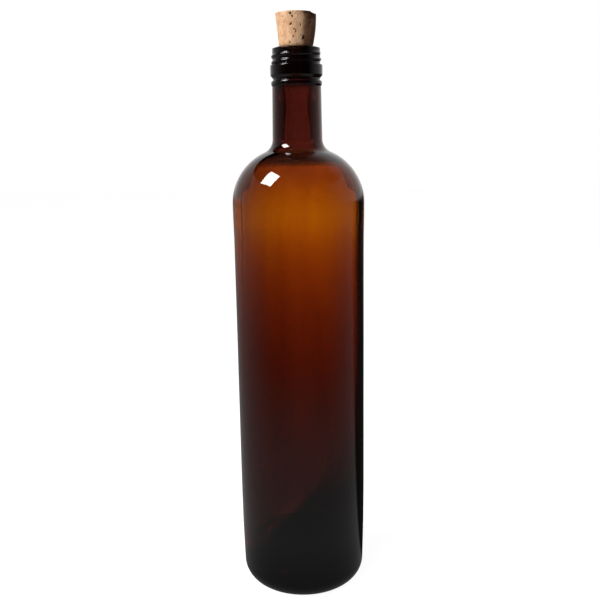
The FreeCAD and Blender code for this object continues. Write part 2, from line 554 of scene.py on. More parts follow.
@dataclass(frozen=True)
class NaturalCork:
    """Natural cork: warm tan, with darker growth bands, specks and brown pores, and painted shade on
    its right front side.

    Args:
        pale: Colour of the cleanest cork.
        warm: Colour of the ordinary cork.
        band: Colour of the darker growth bands.
        pore: Colour inside the pores, also used for painted shade on the broken rim and the torn patch.
        painted_shade_tint: What painted shade darkens the cork's right front side by.
        roughness: Roughness of the cut surface.
        specular: How much it shines.
        patches: Where the cork is of the ordinary colour.
        bands: Where its growth bands are.
        band_share: How much they show.
        specks: Where its specks are.
        speck_share: How much they show.
        grain: The finest unevenness of the surface.
        grain_strength: Strength of that bump.
        grain_depth: Its depth.
    """

    pale: Colour = (0.74, 0.47, 0.28, 1.0)
    warm: Colour = (0.60, 0.33, 0.18, 1.0)
    band: Colour = (0.33, 0.16, 0.08, 1.0)
    pore: Colour = (0.045, 0.014, 0.006, 1.0)
    painted_shade_tint: Colour = (0.34, 0.27, 0.24, 1.0)
    roughness: float = 0.85
    specular: float = 0.25
    patches: Patches = Patches(260.0, 0.6, 0.38, 0.66)
    bands: Patches = Patches(480.0, 0.30, 0.54, 0.72, 0.65)
    band_share: float = 0.45
    specks: Patches = Patches(1500.0, 0.7, 0.62, 0.72, 0.6)
    speck_share: float = 0.6
    grain: Patches = Patches(2600.0, 1.0, 0.2, 0.8, 0.7)
    grain_strength: float = 0.5
    grain_depth: float = 0.15 * MM

    def build(self) -> Material:
        """Make the material."""
        material, bench = new_material("natural_cork")
        position = bench.add("ShaderNodeTexCoord").outputs["Object"]
        bands = bench.times(self.bands.mask(bench, position), self.band_share)
        specks = bench.times(self.specks.mask(bench, position), self.speck_share)
        base = bench.mix("MIX", self.patches.mask(bench, position), self.pale, self.warm)
        base = bench.mix("MIX", bands, base, self.band)
        base = bench.mix("MIX", specks, base, self.band)
        # Painted shade on the cork's right front side.
        base = bench.mix("MULTIPLY", bench.mark(Mark.PAINTED_SHADE), base, self.painted_shade_tint)
        # The pore colour darkens the pores, and paints shade on the broken rim and the torn patch.
        base = bench.mix("MIX", bench.mark(Mark.PORE_AND_SHADE), base, self.pore)
        bump = bench.add(
            "ShaderNodeBump", in_Strength=self.grain_strength, in_Distance=self.grain_depth,
            in_Height=self.grain.mask(bench, position))
        shader = bench.add(
            "ShaderNodeBsdfPrincipled", in_Base_Color=base, in_Roughness=self.roughness,
            in_Specular_IOR_Level=self.specular, in_Normal=bump.outputs[0])
        bench.cover(shader.outputs[0])
        return material


# ---- The bottle ----


@dataclass
class ScrewThread:
    """The raised thread on the wall under the lip.

    Args:
        pitch: Rise in one turn.
        depth: Height of the crest above the wall.
        root_width: Width of the ridge at the wall.
        crest_width: Width of its top.
        bottom_drop: How far its first end lies under the mouth.
        start_angle: Direction of its first end, in radians from +X towards +Y.
        turned: Angle from the first end to the other, in radians.
        fade: Angle over which each end sinks into the wall, in radians.
    """

    pitch: float = 3.4 * MM
    depth: float = 0.65 * MM
    root_width: float = 2.3 * MM
    crest_width: float = 0.6 * MM
    bottom_drop: float = 10.0 * MM
    start_angle: float = math.radians(100.0)
    turned: float = math.radians(640.0)
    fade: float = math.radians(60.0)

    def rise(self, angle: float, drop: float) -> float:
        """Height of the ridge above the wall.

        Args:
            angle: Direction from the axis, in radians from +X towards +Y.
            drop: Distance under the mouth.

        Returns:
            The height, 0 where there is no ridge.
        """
        best = 0.0
        gone = (angle - self.start_angle) % FULL_TURN
        while gone < self.turned:
            middle = self.bottom_drop - self.pitch * gone / FULL_TURN
            away = abs(drop - middle)
            share = 1 - smooth_step(self.crest_width / 2, self.root_width / 2, away)
            ends = min(1.0, min(gone, self.turned - gone) / self.fade)
            best = max(best, self.depth * share * ends)
            gone += FULL_TURN
        return best


@dataclass(frozen=True)
class Band:
    """A ring round the finish, raised or sunk.

    Args:
        drop: How far its middle lies under the mouth.
        width: Its height.
        radius: Its radius.
        rounding: Round of its two edges.
    """

    drop: float
    width: float
    radius: float
    rounding: float

    def corners(self, mouth: float) -> list[Corner]:
        """Its lower and its upper corner."""
        middle = mouth - self.drop
        return [
            Corner(self.radius, middle - self.width / 2, self.rounding),
            Corner(self.radius, middle + self.width / 2, self.rounding),
        ]


@dataclass
class GlassBottle:
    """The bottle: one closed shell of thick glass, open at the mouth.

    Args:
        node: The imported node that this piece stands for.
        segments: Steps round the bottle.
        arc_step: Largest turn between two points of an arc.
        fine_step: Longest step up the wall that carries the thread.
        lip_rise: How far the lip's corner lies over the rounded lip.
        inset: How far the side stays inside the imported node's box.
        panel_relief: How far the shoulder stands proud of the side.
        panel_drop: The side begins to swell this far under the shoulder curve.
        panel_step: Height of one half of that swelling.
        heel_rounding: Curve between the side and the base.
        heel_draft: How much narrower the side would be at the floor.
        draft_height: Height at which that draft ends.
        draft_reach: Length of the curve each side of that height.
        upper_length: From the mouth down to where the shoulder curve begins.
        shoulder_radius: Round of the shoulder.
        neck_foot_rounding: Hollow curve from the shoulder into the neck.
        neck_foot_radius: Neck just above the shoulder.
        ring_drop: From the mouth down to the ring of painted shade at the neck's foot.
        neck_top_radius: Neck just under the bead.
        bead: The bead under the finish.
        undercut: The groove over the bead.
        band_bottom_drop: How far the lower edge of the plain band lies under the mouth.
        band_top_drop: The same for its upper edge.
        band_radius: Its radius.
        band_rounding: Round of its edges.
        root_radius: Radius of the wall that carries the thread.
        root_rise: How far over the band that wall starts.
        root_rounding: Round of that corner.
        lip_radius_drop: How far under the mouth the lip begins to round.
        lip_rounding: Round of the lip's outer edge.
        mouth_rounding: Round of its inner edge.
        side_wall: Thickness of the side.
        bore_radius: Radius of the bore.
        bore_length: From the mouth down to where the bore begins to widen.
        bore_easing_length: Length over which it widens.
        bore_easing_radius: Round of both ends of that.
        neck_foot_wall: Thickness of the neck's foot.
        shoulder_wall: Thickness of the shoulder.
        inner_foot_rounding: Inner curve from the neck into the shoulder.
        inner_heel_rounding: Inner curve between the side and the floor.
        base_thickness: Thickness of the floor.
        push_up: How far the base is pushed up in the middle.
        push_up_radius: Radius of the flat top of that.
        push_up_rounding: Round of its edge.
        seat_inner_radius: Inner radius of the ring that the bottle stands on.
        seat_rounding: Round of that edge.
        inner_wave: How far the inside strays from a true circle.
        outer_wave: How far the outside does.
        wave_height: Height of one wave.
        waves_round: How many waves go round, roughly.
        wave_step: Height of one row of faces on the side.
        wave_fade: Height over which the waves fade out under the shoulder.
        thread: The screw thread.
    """

    node: str = "glass_bottle"
    segments: int = 192
    arc_step: float = math.radians(4.0)
    fine_step: float = 0.25 * MM
    lip_rise: float = 0.377 * MM
    inset: float = 0.01 * MM
    panel_relief: float = 0.22 * MM
    panel_drop: float = 25.9 * MM
    panel_step: float = 12.0 * MM
    heel_rounding: float = 11.8 * MM
    heel_draft: float = 1.26 * MM
    draft_height: float = 37.0 * MM
    draft_reach: float = 25.0 * MM
    upper_length: float = 88.1 * MM
    shoulder_radius: float = 32.0 * MM
    neck_foot_rounding: float = 8.0 * MM
    neck_foot_radius: float = 14.46 * MM
    ring_drop: float = 61.0 * MM
    neck_top_radius: float = 13.96 * MM
    bead: Band = Band(20.2 * MM, 2.0 * MM, 14.5 * MM, 0.9 * MM)
    undercut: Band = Band(18.4 * MM, 1.2 * MM, 13.45 * MM, 0.4 * MM)
    band_bottom_drop: float = 16.1 * MM
    band_top_drop: float = 10.6 * MM
    band_radius: float = 14.85 * MM
    band_rounding: float = 0.7 * MM
    root_radius: float = 13.55 * MM
    root_rise: float = 0.7 * MM
    root_rounding: float = 0.5 * MM
    lip_radius_drop: float = 1.4 * MM
    lip_rounding: float = 1.5 * MM
    mouth_rounding: float = 1.0 * MM
    side_wall: float = 2.7 * MM
    bore_radius: float = 9.25 * MM
    bore_length: float = 34.0 * MM
    bore_easing_length: float = 14.0 * MM
    bore_easing_radius: float = 40.0 * MM
    neck_foot_wall: float = 4.0 * MM
    shoulder_wall: float = 3.2 * MM
    inner_foot_rounding: float = 10.0 * MM
    inner_heel_rounding: float = 10.5 * MM
    base_thickness: float = 5.2 * MM
    push_up: float = 3.0 * MM
    push_up_radius: float = 11.0 * MM
    push_up_rounding: float = 14.0 * MM
    seat_inner_radius: float = 21.0 * MM
    seat_rounding: float = 4.0 * MM
    inner_wave: float = 0.30 * MM
    outer_wave: float = 0.04 * MM
    wave_height: float = 45.0 * MM
    waves_round: float = 1.3
    wave_step: float = 6.0 * MM
    wave_fade: float = 20.0 * MM
    thread: ScrewThread = field(default_factory=ScrewThread)

    def __post_init__(self) -> None:
        """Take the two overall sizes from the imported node's box."""
        low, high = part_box(self.node)
        self.mouth_height = round(high.z + self.lip_rise, 5)
        self.shoulder_side = min(-low.x, high.x, -low.y, high.y) - self.inset
        self.body_radius = self.shoulder_side - self.panel_relief

    def shoulder(self, side: float, middle: float, rounding: float, neck: float,
                 foot: float) -> list[Corner]:
        """Two corners whose arcs meet tangent: the shoulder, then the hollow foot of the neck.

        Args:
            side: Radius of the side under the shoulder.
            middle: Height of the middle of the shoulder's arc.
            rounding: Radius of that arc.
            neck: Radius of the neck.
            foot: Radius of the hollow arc at the neck's foot.

        Returns:
            The corner at the side and the corner at the neck.
        """
        across = neck + foot - (side - rounding)
        up = math.sqrt((rounding + foot) ** 2 - across ** 2)
        half_turn = math.tan(math.atan2(up, across) / 2)
        return [
            Corner(side, middle + rounding * half_turn, rounding),
            Corner(neck, middle + up - foot * half_turn, foot),
        ]

    def outside(self) -> list[Corner]:
        """Corners of the outside, from the middle of the base up to the inner edge of the lip."""
        mouth = self.mouth_height
        shoulder_height = mouth - self.upper_length
        panel_top = shoulder_height - self.panel_drop
        panel_round = self.panel_step ** 2 / self.panel_relief
        band_top = mouth - self.band_top_drop
        bead, undercut = self.bead.corners(mouth), self.undercut.corners(mouth)
        return [
            Corner(0, self.push_up),
            Corner(self.push_up_radius, self.push_up, self.push_up_rounding),
            Corner(self.seat_inner_radius, 0, self.seat_rounding),
            Corner(self.body_radius - self.heel_draft, 0, self.heel_rounding),
            Corner(self.body_radius, self.draft_height,
                   2 * self.draft_reach * self.draft_height / self.heel_draft),
            Corner(self.body_radius, panel_top + self.panel_step / 2, panel_round, self.wave_step),
            Corner(self.shoulder_side, panel_top + self.panel_step * 3 / 2, panel_round),
            *self.shoulder(self.shoulder_side, shoulder_height, self.shoulder_radius,
                           self.neck_foot_radius, self.neck_foot_rounding),
            Corner(self.neck_top_radius, bead[0].height - self.bead.rounding, self.bead.rounding),
            *bead,
            *undercut,
            Corner(self.band_radius, mouth - self.band_bottom_drop, self.band_rounding),
            Corner(self.band_radius, band_top, self.band_rounding),
            Corner(self.root_radius, band_top + self.root_rise, self.root_rounding, self.fine_step),
            Corner(self.root_radius, mouth - self.lip_radius_drop, self.lip_rounding, self.fine_step),
            Corner(self.bore_radius, mouth, self.mouth_rounding),
        ]

    def inside(self) -> list[Corner]:
        """Corners of the inside, from the bore down to the middle of the bottle's floor."""
        side = self.body_radius - self.side_wall
        foot = self.neck_foot_radius - self.neck_foot_wall
        bore_end = self.mouth_height - self.bore_length
        middle = self.mouth_height - self.upper_length + self.side_wall - self.shoulder_wall
        shoulder, neck = self.shoulder(
            side, middle, self.shoulder_radius - self.side_wall, foot, self.inner_foot_rounding)
        return [
            Corner(self.bore_radius, bore_end, self.bore_easing_radius),
            Corner(foot, bore_end - self.bore_easing_length, self.bore_easing_radius),
            neck,
            shoulder,
            Corner(side, self.base_thickness, self.inner_heel_rounding, self.wave_step),
            Corner(self.push_up_radius, self.push_up + self.base_thickness, self.push_up_rounding),
            Corner(0, self.push_up + self.base_thickness),
        ]

    def shape(self) -> Piece:
        """Turn the shell, then give it its thread and the slight unevenness of blown glass."""
        points = outline_points(self.outside() + self.inside(), self.arc_step)
        piece = turned_piece("bottle_glass", points, self.segments)
        sides = [self.is_outer(vertex) for vertex in piece.data.vertices]
        note(piece, Mark.OUTER, [float(side) for side in sides])
        thread_wall = (self.bore_radius + self.root_radius) / 2
        thread_low = self.mouth_height - self.band_top_drop
        thread_high = self.mouth_height - self.lip_radius_drop
        for vertex, is_outer in zip(piece.data.vertices, sides):
            place = vertex.co
            radius = math.hypot(place.x, place.y)
            if radius < MM:
                continue
            grown = radius + self.waviness(place, radius, is_outer)
            if thread_low < place.z < thread_high and radius > thread_wall:
                angle = math.atan2(place.y, place.x)
                rise = self.thread.rise(angle, self.mouth_height - place.z)
                grown = max(grown, self.root_radius + rise)
            vertex.co = (place.x * grown / radius, place.y * grown / radius, place.z)
        return piece

    def is_outer(self, vertex: bpy.types.MeshVertex) -> bool:
        """Whether a vertex of the turned shell lies on its outside."""
        if vertex.co.z < self.push_up + self.base_thickness / 2 - self.push_up / 2:
            return True
        if vertex.co.z > self.mouth_height - self.mouth_rounding:
            return True
        return vertex.co.xy.dot(vertex.normal.xy) > 0

    def waviness(self, place: Vector, radius: float, is_outer: bool) -> float:
        """How far the wall strays from a true circle at one place.

        Args:
            place: A point of the wall.
            radius: Its distance from the axis.
            is_outer: Whether it lies on the outside.

        Returns:
            The distance, mostly on the inside, where no mould touched the glass.
        """
        top, floor = self.mouth_height - self.upper_length, self.base_thickness
        on_side = 1 - smooth_step(top - self.wave_fade, top, place.z)
        on_side *= smooth_step(floor, floor + self.inner_heel_rounding, place.z)
        round_about = Vector((place.x / radius, place.y / radius, place.z / self.wave_height))
        wave = noise.noise(round_about * self.waves_round)
        if is_outer:
            return (wave - 1) * self.outer_wave * on_side
        return wave * self.inner_wave * on_side

    def build(self, finish: AmberGlass) -> Piece:
        """Make the piece, dress it in its glass and join it to the frame."""
        piece = self.shape()
        settle(piece)
        piece.data.materials.append(finish.build())
        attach(piece, "root")
        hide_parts(self.node)
        return piece


# ---- The cork ----


@dataclass(frozen=True)
class Pit:
    """A pore in the side of the cork.

    Args:
        turn: Direction from the axis, in degrees: 0 towards the viewer, 90 to the right.
        drop: Depth of its middle under the top of the cork.
        width: Width across.
        height: Height.
        depth: How deep it goes.
        lean: Turn in the surface, in degrees, leaning to the right.
        edge: Where its edge starts and is full, as shares of its half size.
        raggedness: How ragged that edge is.
        ragged_size: Size of that raggedness.
    """

    turn: float
    drop: float
    width: float
    height: float
    depth: float
    lean: float = 0.0
    edge: Span = (0.55, 1.15)
    raggedness: float = 0.45
    ragged_size: float = 0.5 * MM

    def share(self, turn: float, drop: float, radius: float) -> float:
        """How far into the pore a place of the surface lies, from 0 outside to 1 in the middle."""
        gone = (turn - self.turn + 180) % 360 - 180
        across = math.radians(gone) * radius
        down = drop - self.drop
        if max(abs(across), abs(down)) > self.width + self.height:
            return 0.0
        lean = math.radians(self.lean)
        along = (across * math.sin(lean) - down * math.cos(lean)) / (self.height / 2)
        aside = (across * math.cos(lean) + down * math.sin(lean)) / (self.width / 2)
        ragged = noise.noise(Vector((across, down, self.drop)) / self.ragged_size) * self.raggedness
        return 1 - smooth_step(*self.edge, math.hypot(along, aside) + ragged)


def grain(place: Vector, smoothness: float = 0.8, layers: int = 3) -> float:
    """Rough noise at one place, in layers that are each twice as fine as the one before."""
    return noise.fractal(place, smoothness, 2.0, layers)


@dataclass(frozen=True)
class Scatter:
    """Pores strewn at random, each between two limits, with lengths in millimetres.

    Args:
        count: How many.
        turns: Their directions, as for a pore.
        drops: Their depths under the top of the cork.
        widths: Their widths.
        heights: Their heights.
        depth: How deep they go: in millimetres, or as a share of the height if they lean.
        lean: The most that they lean to either side, in degrees.
    """

    count: int
    turns: Span
    drops: Span
    widths: Span
    heights: Span
    depth: float = 0.35
    lean: float = 0.0


@dataclass
class CorkStopper:
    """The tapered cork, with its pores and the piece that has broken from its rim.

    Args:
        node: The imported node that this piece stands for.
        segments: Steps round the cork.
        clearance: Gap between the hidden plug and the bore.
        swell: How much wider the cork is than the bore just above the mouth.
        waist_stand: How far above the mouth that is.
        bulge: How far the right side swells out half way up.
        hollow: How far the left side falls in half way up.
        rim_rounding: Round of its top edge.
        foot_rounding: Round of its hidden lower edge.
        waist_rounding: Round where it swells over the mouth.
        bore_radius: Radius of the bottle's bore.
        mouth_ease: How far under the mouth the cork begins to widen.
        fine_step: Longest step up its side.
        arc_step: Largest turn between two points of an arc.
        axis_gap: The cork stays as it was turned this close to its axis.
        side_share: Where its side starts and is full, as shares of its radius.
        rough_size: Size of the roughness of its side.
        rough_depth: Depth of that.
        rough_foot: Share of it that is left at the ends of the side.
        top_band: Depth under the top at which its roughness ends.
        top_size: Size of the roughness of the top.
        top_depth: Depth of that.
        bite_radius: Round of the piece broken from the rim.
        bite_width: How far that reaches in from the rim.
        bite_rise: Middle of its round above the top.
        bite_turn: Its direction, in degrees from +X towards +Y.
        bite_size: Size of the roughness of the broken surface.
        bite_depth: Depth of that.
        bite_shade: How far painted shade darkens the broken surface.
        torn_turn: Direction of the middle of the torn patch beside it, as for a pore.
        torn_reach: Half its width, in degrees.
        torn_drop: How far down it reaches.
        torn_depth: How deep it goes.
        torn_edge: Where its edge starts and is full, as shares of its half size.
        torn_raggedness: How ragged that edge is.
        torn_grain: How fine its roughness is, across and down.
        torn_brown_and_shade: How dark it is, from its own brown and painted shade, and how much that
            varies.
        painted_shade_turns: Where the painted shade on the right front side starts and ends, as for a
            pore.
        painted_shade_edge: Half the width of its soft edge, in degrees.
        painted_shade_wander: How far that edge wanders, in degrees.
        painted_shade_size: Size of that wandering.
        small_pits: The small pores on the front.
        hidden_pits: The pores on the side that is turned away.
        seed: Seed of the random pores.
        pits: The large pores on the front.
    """

    node: str = "cork_stopper"
    segments: int = 256
    clearance: float = 0.14 * MM
    swell: float = 0.42 * MM
    waist_stand: float = 0.6 * MM
    bulge: float = 0.60 * MM
    hollow: float = 0.15 * MM
    rim_rounding: float = 0.5 * MM
    foot_rounding: float = 1.0 * MM
    waist_rounding: float = 3.0 * MM
    bore_radius: float = 9.25 * MM
    mouth_ease: float = 1.4 * MM
    fine_step: float = 0.28 * MM
    arc_step: float = math.radians(12.0)
    axis_gap: float = 0.1 * MM
    side_share: Span = (0.85, 0.97)
    rough_size: float = 1.2 * MM
    rough_depth: float = 0.06 * MM
    rough_foot: float = 0.3
    top_band: float = 0.5 * MM
    top_size: float = 1.5 * MM
    top_depth: float = 0.08 * MM
    bite_radius: float = 1.6 * MM
    bite_width: float = 2.45 * MM
    bite_rise: float = 0.35 * MM
    bite_turn: float = -10.0
    bite_size: float = 0.9 * MM
    bite_depth: float = 0.2 * MM
    bite_shade: float = 0.55
    torn_turn: float = 52.0
    torn_reach: float = 30.0
    torn_drop: float = 4.6 * MM
    torn_depth: float = 0.45 * MM
    torn_edge: Span = (0.7, 1.15)
    torn_raggedness: float = 0.5
    torn_grain: Span = (2.2, 1.6)
    torn_brown_and_shade: Span = (0.78, 0.3)
    painted_shade_turns: Span = (24.0, 112.0)
    painted_shade_edge: float = 7.0
    painted_shade_wander: float = 4.0
    painted_shade_size: float = 2.5 * MM
    small_pits: Scatter = Scatter(9, (-60.0, 60.0), (3.0, 16.0), (0.5, 1.0), (0.6, 1.2))
    hidden_pits: Scatter = Scatter(
        34, (78.0, 282.0), (1.0, 17.5), (0.5, 1.2), (0.5, 2.2), lean=50.0)
    seed: int = 11
    pits: tuple[Pit, ...] = (
        Pit(-15.0, 2.0 * MM, 1.5 * MM, 1.5 * MM, 0.7 * MM, 15.0),
        Pit(-10.0, 3.5 * MM, 1.0 * MM, 1.5 * MM, 0.5 * MM, -20.0),
        Pit(-15.0, 7.5 * MM, 1.0 * MM, 2.0 * MM, 0.9 * MM, 50.0),
        Pit(15.0, 8.0 * MM, 0.5 * MM, 2.0 * MM, 0.5 * MM, -10.0),
        Pit(25.0, 14.5 * MM, 1.5 * MM, 2.5 * MM, 1.1 * MM, 10.0),
        Pit(-20.0, 17.0 * MM, 1.0 * MM, 1.0 * MM, 0.4 * MM, 40.0),
        Pit(45.0, 6.5 * MM, 1.0 * MM, 1.5 * MM, 0.6 * MM, 20.0),
    )

    def __post_init__(self) -> None:
        """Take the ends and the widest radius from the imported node's box, and add unseen pores."""
        low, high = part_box(self.node)
        self.bottom, self.top = low.z, high.z
        self.top_radius = high.y
        chance = random.Random(self.seed)
        small, hidden = self.small_pits, self.hidden_pits
        self.all_pits = list(self.pits)
        for _ in range(small.count):
            self.all_pits.append(Pit(
                chance.uniform(*small.turns), chance.uniform(*small.drops) * MM,
                chance.uniform(*small.widths) * MM, chance.uniform(*small.heights) * MM,
                small.depth * MM))
        for _ in range(hidden.count):
            height = chance.uniform(*hidden.heights) * MM
            self.all_pits.append(Pit(
                chance.uniform(*hidden.turns), chance.uniform(*hidden.drops) * MM,
                chance.uniform(*hidden.widths) * MM, height, height * hidden.depth,
                chance.uniform(-hidden.lean, hidden.lean)))

    def shape(self, mouth: float) -> Piece:
        """Turn the tapered plug, note painted shade on its right front side, then wear it: uneven
        sides, broken rim, torn patch, pores.
        """
        plug = self.bore_radius - self.clearance
        corners = [
            Corner(0, self.bottom),
            Corner(plug, self.bottom, self.foot_rounding),
            Corner(plug, mouth - self.mouth_ease, self.waist_rounding),
            Corner(self.bore_radius + self.swell, mouth + self.waist_stand, self.waist_rounding,
                   self.fine_step),
            Corner(self.top_radius, self.top, self.rim_rounding, self.fine_step),
            Corner(0, self.top, 0, 2 * self.fine_step),
        ]
        piece = turned_piece("cork", outline_points(corners, self.arc_step), self.segments)
        # The right front side of the cork gets painted shade.
        note(piece, Mark.PAINTED_SHADE, [self.painted_shade(vertex.co) for vertex in piece.data.vertices])
        note(piece, Mark.PORE_AND_SHADE, [self.wear(vertex.co, mouth) for vertex in piece.data.vertices])
        return piece

    def wear(self, place: Vector, mouth: float) -> float:
        """Move one point of the cork to its worn place.

        Args:
            place: The point, changed in place.
            mouth: Height of the bottle's mouth.

        Returns:
            How dark the cork is there, from 0 on clean cork to 1 in a pore; on the broken rim this is
            painted shade, on the torn patch its brown with painted shade.
        """
        radius = math.hypot(place.x, place.y)
        if radius < self.axis_gap or place.z < mouth:
            return 0.0
        drop = self.top - place.z
        share = drop / (self.top - mouth)
        turn = math.degrees(math.atan2(place.x, -place.y))
        middle = math.sin(math.pi * min(1.0, share))
        side = place.x / radius
        full_radius = self.bore_radius + (self.top_radius - self.bore_radius) * (1 - share)
        outside = smooth_step(*self.side_share, radius / full_radius)
        grown = middle * (self.bulge * max(0.0, side) - self.hollow * max(0.0, -side))
        rough = min(1.0, 3 * middle + self.rough_foot)
        grown += grain(place / self.rough_size) * self.rough_depth * rough
        dark = 0.0
        if outside > 0:
            for pit in self.all_pits:
                inside = pit.share(turn, drop, radius)
                grown -= inside * pit.depth
                dark = max(dark, inside)
        # The torn patch's darkness is its brown with painted shade.
        torn, torn_brown_and_shade = self.torn(turn, drop, outside)
        grown -= torn
        dark = max(dark, torn_brown_and_shade)
        scale = (radius + outside * grown) / radius
        place.x *= scale
        place.y *= scale
        broken = self.bite(place)
        # The broken surface is darkened with painted shade.
        if broken < place.z:
            place.z = broken
            dark = max(dark, self.bite_shade)
        if outside < 1 and drop < self.top_band:
            place.z += (grain(place / self.top_size) - 1) * self.top_depth
        return dark

    def painted_shade(self, place: Vector) -> float:
        """How much painted shade darkens the cork at one place: its right front side is painted in
        shade.
        """
        wander = self.painted_shade_wander * noise.noise(place / self.painted_shade_size)
        turn = math.degrees(math.atan2(place.x, -place.y)) + wander
        start, end = self.painted_shade_turns
        edge = self.painted_shade_edge
        begun = smooth_step(start - edge, start + edge, turn)
        return begun * (1 - smooth_step(end - edge, end + edge, turn))

    def torn(self, turn: float, drop: float, outside: float) -> Span:
        """Depth and darkness of the torn patch beside the broken rim: its own brown with painted shade.
        """
        aside = (turn - self.torn_turn) / self.torn_reach
        down = drop / self.torn_drop
        across_grain, down_grain = self.torn_grain
        ragged = grain(Vector((aside * across_grain, down * down_grain, 3.0)), 0.7, 4)
        away = math.hypot(aside, down) + self.torn_raggedness * ragged
        share = (1 - smooth_step(*self.torn_edge, away)) * outside
        dark, variation = self.torn_brown_and_shade
        return self.torn_depth * share * (1 + ragged), share * (dark + variation * ragged)

    def bite(self, place: Vector) -> float:
        """Height of the broken surface over one place, or of the top where nothing is broken."""
        turn = math.radians(self.bite_turn)
        across = place.x * math.cos(turn) + place.y * math.sin(turn)
        middle = self.top_radius - self.bite_width + self.bite_radius
        gone = min(abs(across - middle), self.bite_radius)
        if across >= middle:
            gone = 0.0
        ragged = noise.noise(place / self.bite_size) * self.bite_depth
        return self.top + self.bite_rise - math.sqrt(self.bite_radius ** 2 - gone ** 2) + ragged

    def build(self, finish: NaturalCork, mouth: float) -> Piece:
        """Make the piece for a mouth at one height, dress it and join it to the frame."""
        piece = self.shape(mouth)
        settle(piece)
        piece.data.materials.append(finish.build())
        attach(piece, "root")
        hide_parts(self.node)
        return piece


# ---- The studio ----


def only_in_glass(thing: Piece, seen_through: bool) -> None:
    """Keep a thing of the stage out of sight and out of the light: only glass shows it.

    Args:
        thing: The card or the room.
        seen_through: True if it shows through the glass, False if the gloss mirrors it.
    """
    thing.visible_camera = False
    thing.visible_diffuse = False
    thing.visible_shadow = False
    thing.visible_volume_scatter = False
    thing.visible_transmission = seen_through
    thing.visible_glossy = not seen_through


def seen_rays(bench: NodeBench) -> Socket:
    """1 for rays that show a picture, from the camera, a gloss or through glass, else 0."""
    rays = bench.add("ShaderNodeLightPath").outputs
    either = bench.math("MAXIMUM", rays["Is Camera Ray"], rays["Is Glossy Ray"])
    return bench.math("MAXIMUM", either, rays["Is Transmission Ray"])


@dataclass(frozen=True)
class Camera:
    """The camera.

    Args:
        place: Where it stands.
        pitch: How far it looks down, in degrees.
        roll: How far it is turned about its own axis, in degrees.
        lens: Focal length in millimetres.
        sensor: Width of its sensor in millimetres.
    """

    place: tuple[float, float, float] = (0.0, -0.4696, 0.27155)
    pitch: float = 11.387
    roll: float = -0.9
    lens: float = 47.956
    sensor: float = 36.0

    def set_up(self) -> None:
        """Place the camera."""
        camera = bpy.data.cameras.new("camera")
        camera.lens = self.lens
        camera.sensor_width = self.sensor
        holder = bpy.data.objects.new("camera", camera)
        bpy.context.scene.collection.objects.link(holder)
        tilt = Matrix.Rotation(math.radians(90 - self.pitch), 3, "X")
        turn = Matrix.Rotation(math.radians(self.roll), 3, "Z")
        holder.location = self.place
        holder.rotation_euler = (tilt @ turn).to_euler()
        bpy.context.scene.camera = holder


@dataclass(frozen=True)
class Lamp:
    """A soft lamp that looks at the upper part of the bottle.

    Args:
        name: Its name.
        turn: Its direction, in degrees: 0 towards the camera, 90 to the right.
        lift: Its elevation, in degrees.
        distance: Its distance from what it looks at.
        size: Its width and height.
        power: Its power in watts.
        in_gloss: Whether the glass mirrors it.
        target_height: Height of what it looks at.
    """

    name: str
    turn: float
    lift: float
    distance: float
    size: Span
    power: float
    in_gloss: bool = True
    target_height: float = 0.25

    def set_up(self) -> None:
        """Hang the lamp."""
        lamp = bpy.data.lights.new(self.name, "AREA")
        lamp.shape = "RECTANGLE"
        lamp.size, lamp.size_y = self.size
        lamp.energy = self.power
        holder = bpy.data.objects.new(self.name, lamp)
        bpy.context.scene.collection.objects.link(holder)
        turn, lift = math.radians(self.turn), math.radians(self.lift)
        level = math.cos(lift)
        way = Vector((math.sin(turn) * level, -math.cos(turn) * level, math.sin(lift)))
        holder.location = Vector((0, 0, self.target_height)) + way * self.distance
        holder.rotation_euler = way.to_track_quat("Z", "Y").to_euler()
        holder.visible_camera = False
        holder.visible_transmission = False
        holder.visible_glossy = self.in_gloss


@dataclass(frozen=True)
class Card:
    """A dark card bent round the bottle, seen only through the glass: it darkens the glass edges.

    Args:
        name: Its name.
        start: Direction of its first edge, in degrees: 0 towards the camera, 90 to the right.
        end: Direction of its last edge.
        radius: Distance from the bottle's axis.
        low: Height of its foot.
        high: Height of its top.
        tone: How pale it is.
        twist: How far its top is turned from its foot, in degrees.
        steps: Flat faces across it.
    """

    name: str
    start: float
    end: float
    radius: float
    low: float
    high: float
    tone: float = 0.0
    twist: float = 0.0
    steps: int = 24

    def set_up(self) -> None:
        """Stand up the card."""
        start = math.radians(self.start - 90)
        across, deep = self.radius * math.cos(start), self.radius * math.sin(start)
        edge = [Vector((across, deep, height)) for height in (self.low, self.high)]
        card = spun_outline(self.name, edge, self.steps, math.radians(self.start - self.end))
        for vertex in card.data.vertices:
            share = (vertex.co.z - self.low) / (self.high - self.low)
            vertex.co.rotate(Matrix.Rotation(math.radians(self.twist * share), 3, "Z"))
        material, bench = new_material(self.name)
        bench.cover(bench.shine(self.tone))
        card.data.materials.append(material)
        only_in_glass(card, seen_through=True)


@dataclass(frozen=True)
class BackWall:
    """One side of the room's wall: dark at the front, paler towards the back.

    Args:
        tone: How pale it is at the back.
        start: Direction where it starts to pale, in degrees, as for a card.
        end: Direction where it is palest.
        power: How late it pales: 1 is steadily.
    """

    tone: float
    start: float
    end: float
    power: float

    def shade(self, bench: NodeBench, turn: Socket) -> Socket:
        """Its tone in one direction."""
        return bench.times(bench.climb(turn, self.start, self.end, self.power), self.tone)


